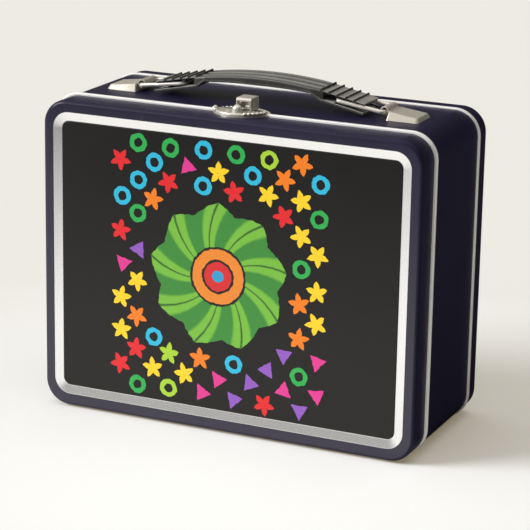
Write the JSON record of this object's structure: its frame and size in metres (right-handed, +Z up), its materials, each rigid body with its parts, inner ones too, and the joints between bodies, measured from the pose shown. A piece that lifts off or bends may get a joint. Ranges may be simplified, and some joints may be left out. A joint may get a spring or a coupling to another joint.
{
  "type": "metal lunch box",
  "caption": "Rounded sheet-metal lunch box with a hinged framed lid, snap clasp and a lifting arched handle on wire rings.",
  "frame": {"origin": "on the table under the middle of the closed box", "axes": "+X along the width, +Y from the lid to the back, +Z up to the handle"},
  "size_m": [0.2026, 0.088, 0.1724],
  "materials": {
    "enamel": "semi-gloss enamel",
    "print": "satin printed enamel",
    "nickel": "nickel plate",
    "steel": "plain steel",
    "grip": "moulded, semi-matt",
    "strip": "moulded, matt"
  },
  "bodies": {
    "case": {"side_band": "enamel", "back_cover": "enamel", "handle_lug_left": "nickel", "handle_lug_right": "nickel", "lug_backing_left": "steel", "lug_backing_right": "steel", "latch_base": "nickel", "latch_pin": "steel", "latch_rivets": "nickel", "hinge_leaf_body_left": "steel", "hinge_leaf_body_right": "steel", "hinge_pin_left": "steel", "hinge_pin_right": "steel", "hinge_rivets_body": "steel"},
    "lid": {"lid_shell": "enamel", "front_panel": "print", "keeper_plate": "nickel", "keeper_rivets": "nickel", "hinge_leaf_lid_left": "steel", "hinge_leaf_lid_right": "steel", "hinge_rivets_lid": "steel"},
    "hood": {"latch_hood": "nickel"},
    "handle": {"grip_top": "grip", "grip_base": "strip"},
    "loop_left": {"wire_loop_left": "nickel"},
    "loop_right": {"wire_loop_right": "nickel"}
  },
  "joints": [
    {"name": "lid_hinge", "type": "hinge", "parent": "case", "child": "lid", "pos_m": [0, -0.02685, 0.0013], "axis": [1, 0, 0], "range_deg": [0, 84]},
    {"name": "hood_hinge", "type": "hinge", "parent": "case", "child": "hood", "pos_m": [0.00285, -0.02325, 0.16115], "axis": [-1, 0, 0], "range_deg": [0, 95]},
    {"name": "handle_lift", "type": "slide", "parent": "case", "child": "handle", "axis": [0, 0, 1], "range_m": [0, 0.01325]},
    {"name": "loop_swing_left", "type": "hinge", "parent": "case", "child": "loop_left", "pos_m": [-0.0652, 0, 0.16195], "axis": [0, -1, 0], "range_deg": [0, 32]},
    {"name": "loop_swing_right", "type": "hinge", "parent": "case", "child": "loop_right", "pos_m": [0.0652, 0, 0.16195], "axis": [0, 1, 0], "range_deg": [0, 32]}
  ],
  "couplings": [
    {"joint": "loop_swing_left", "follows": "handle_lift", "rad_per_m": 42.09},
    {"joint": "loop_swing_right", "follows": "handle_lift", "rad_per_m": 42.09}
  ]
}
